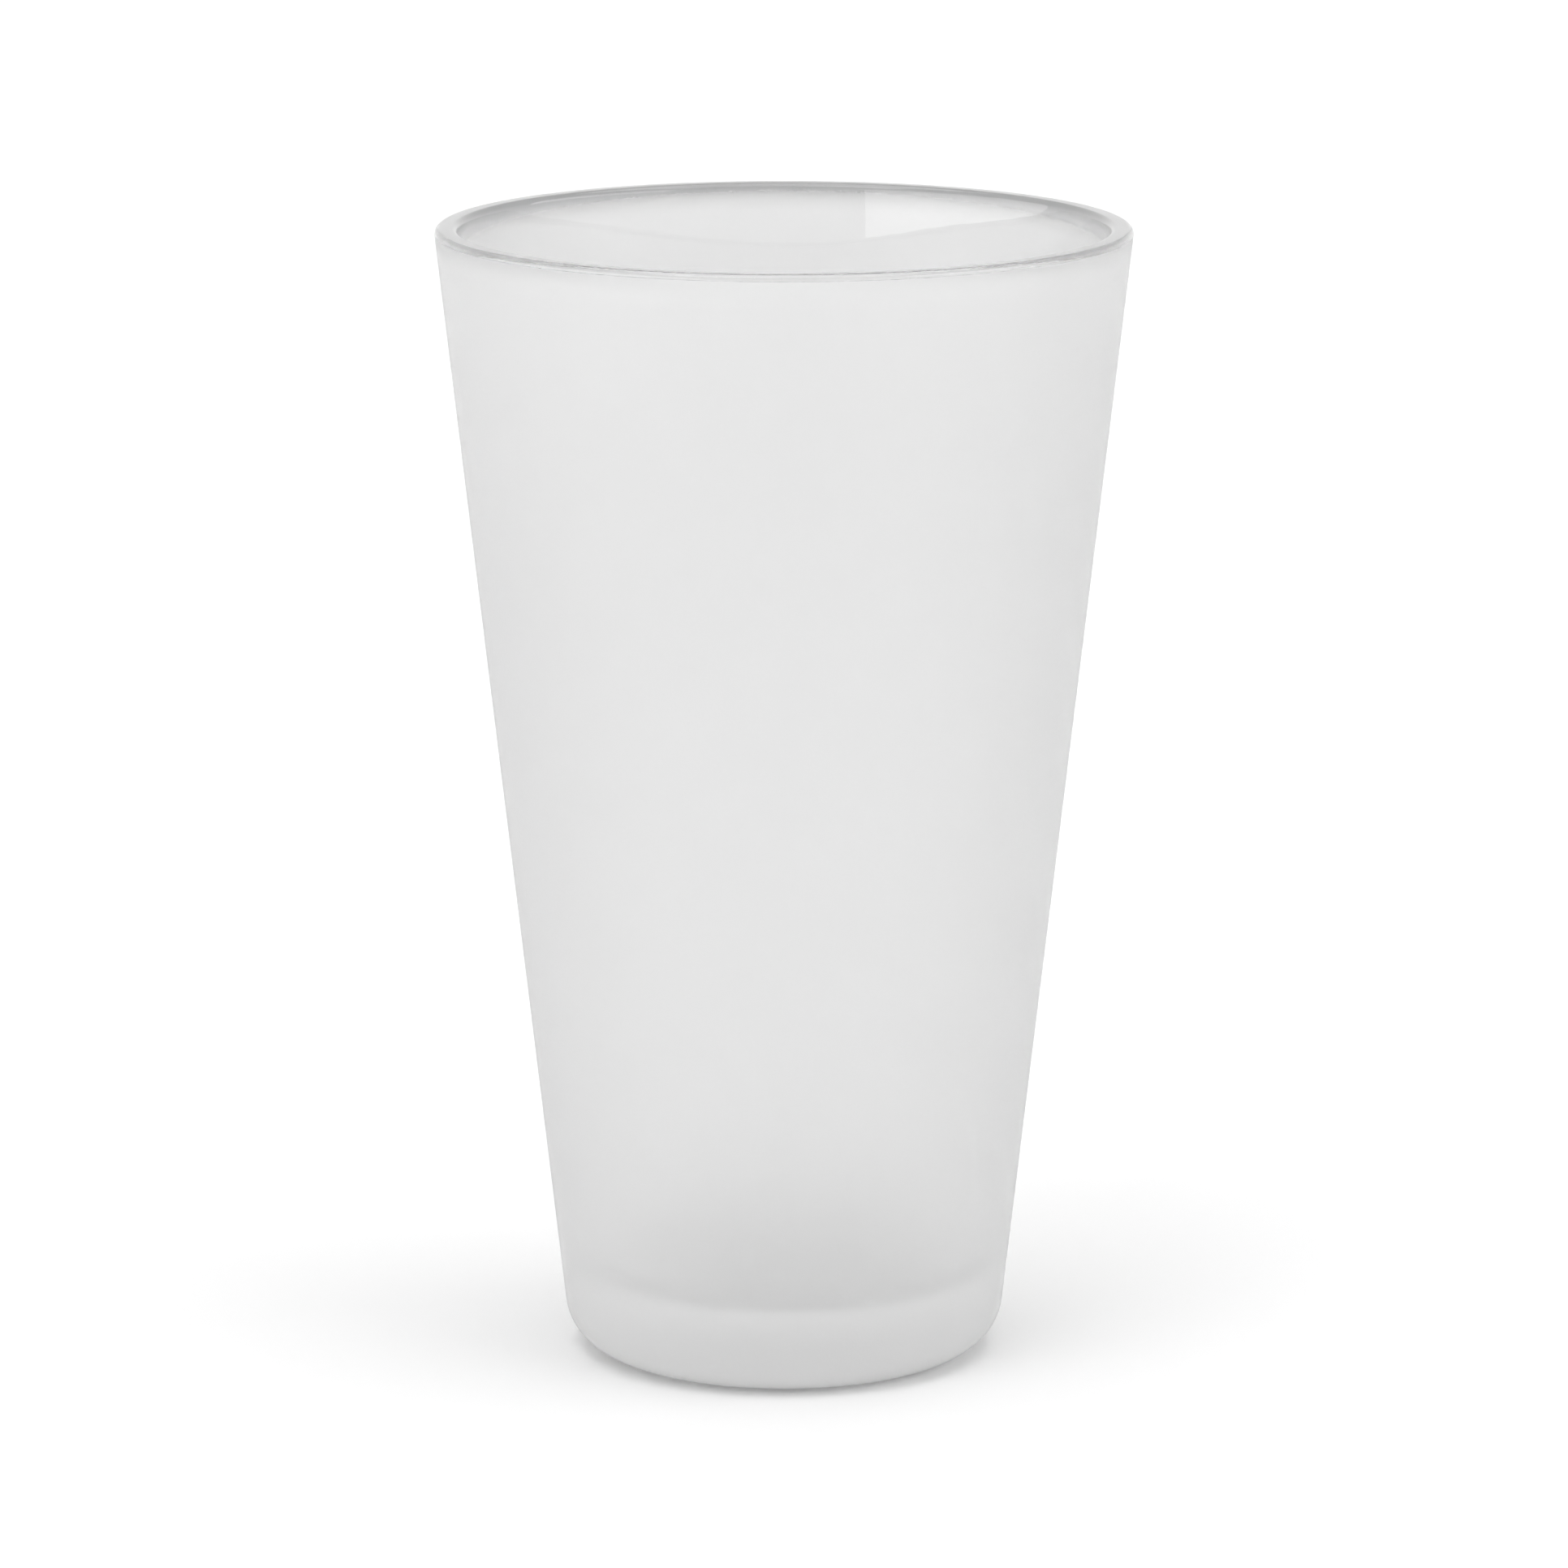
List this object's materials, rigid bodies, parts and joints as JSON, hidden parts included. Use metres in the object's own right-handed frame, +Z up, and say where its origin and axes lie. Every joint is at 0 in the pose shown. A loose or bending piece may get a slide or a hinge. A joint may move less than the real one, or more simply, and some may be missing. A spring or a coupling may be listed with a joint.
{
  "type": "pint glass",
  "caption": "Tapered frosted pint glass with a thick base, a clear rounded lip and a flat ring to stand on.",
  "frame": {"origin": "centre of the foot, on the plane that the glass stands on", "axes": "+Z up along the axis of the glass, towards its mouth; X and Y are alike, because the glass is round"},
  "size_m": [0.0888, 0.0888, 0.147],
  "materials": {
    "clear_glass": "clear, smooth and glossy",
    "frosting": "white, satin matt and translucent, fine even grain"
  },
  "bodies": {
    "root": {"glass_body": "clear_glass", "frost_coating": "frosting"}
  },
  "joints": []
}
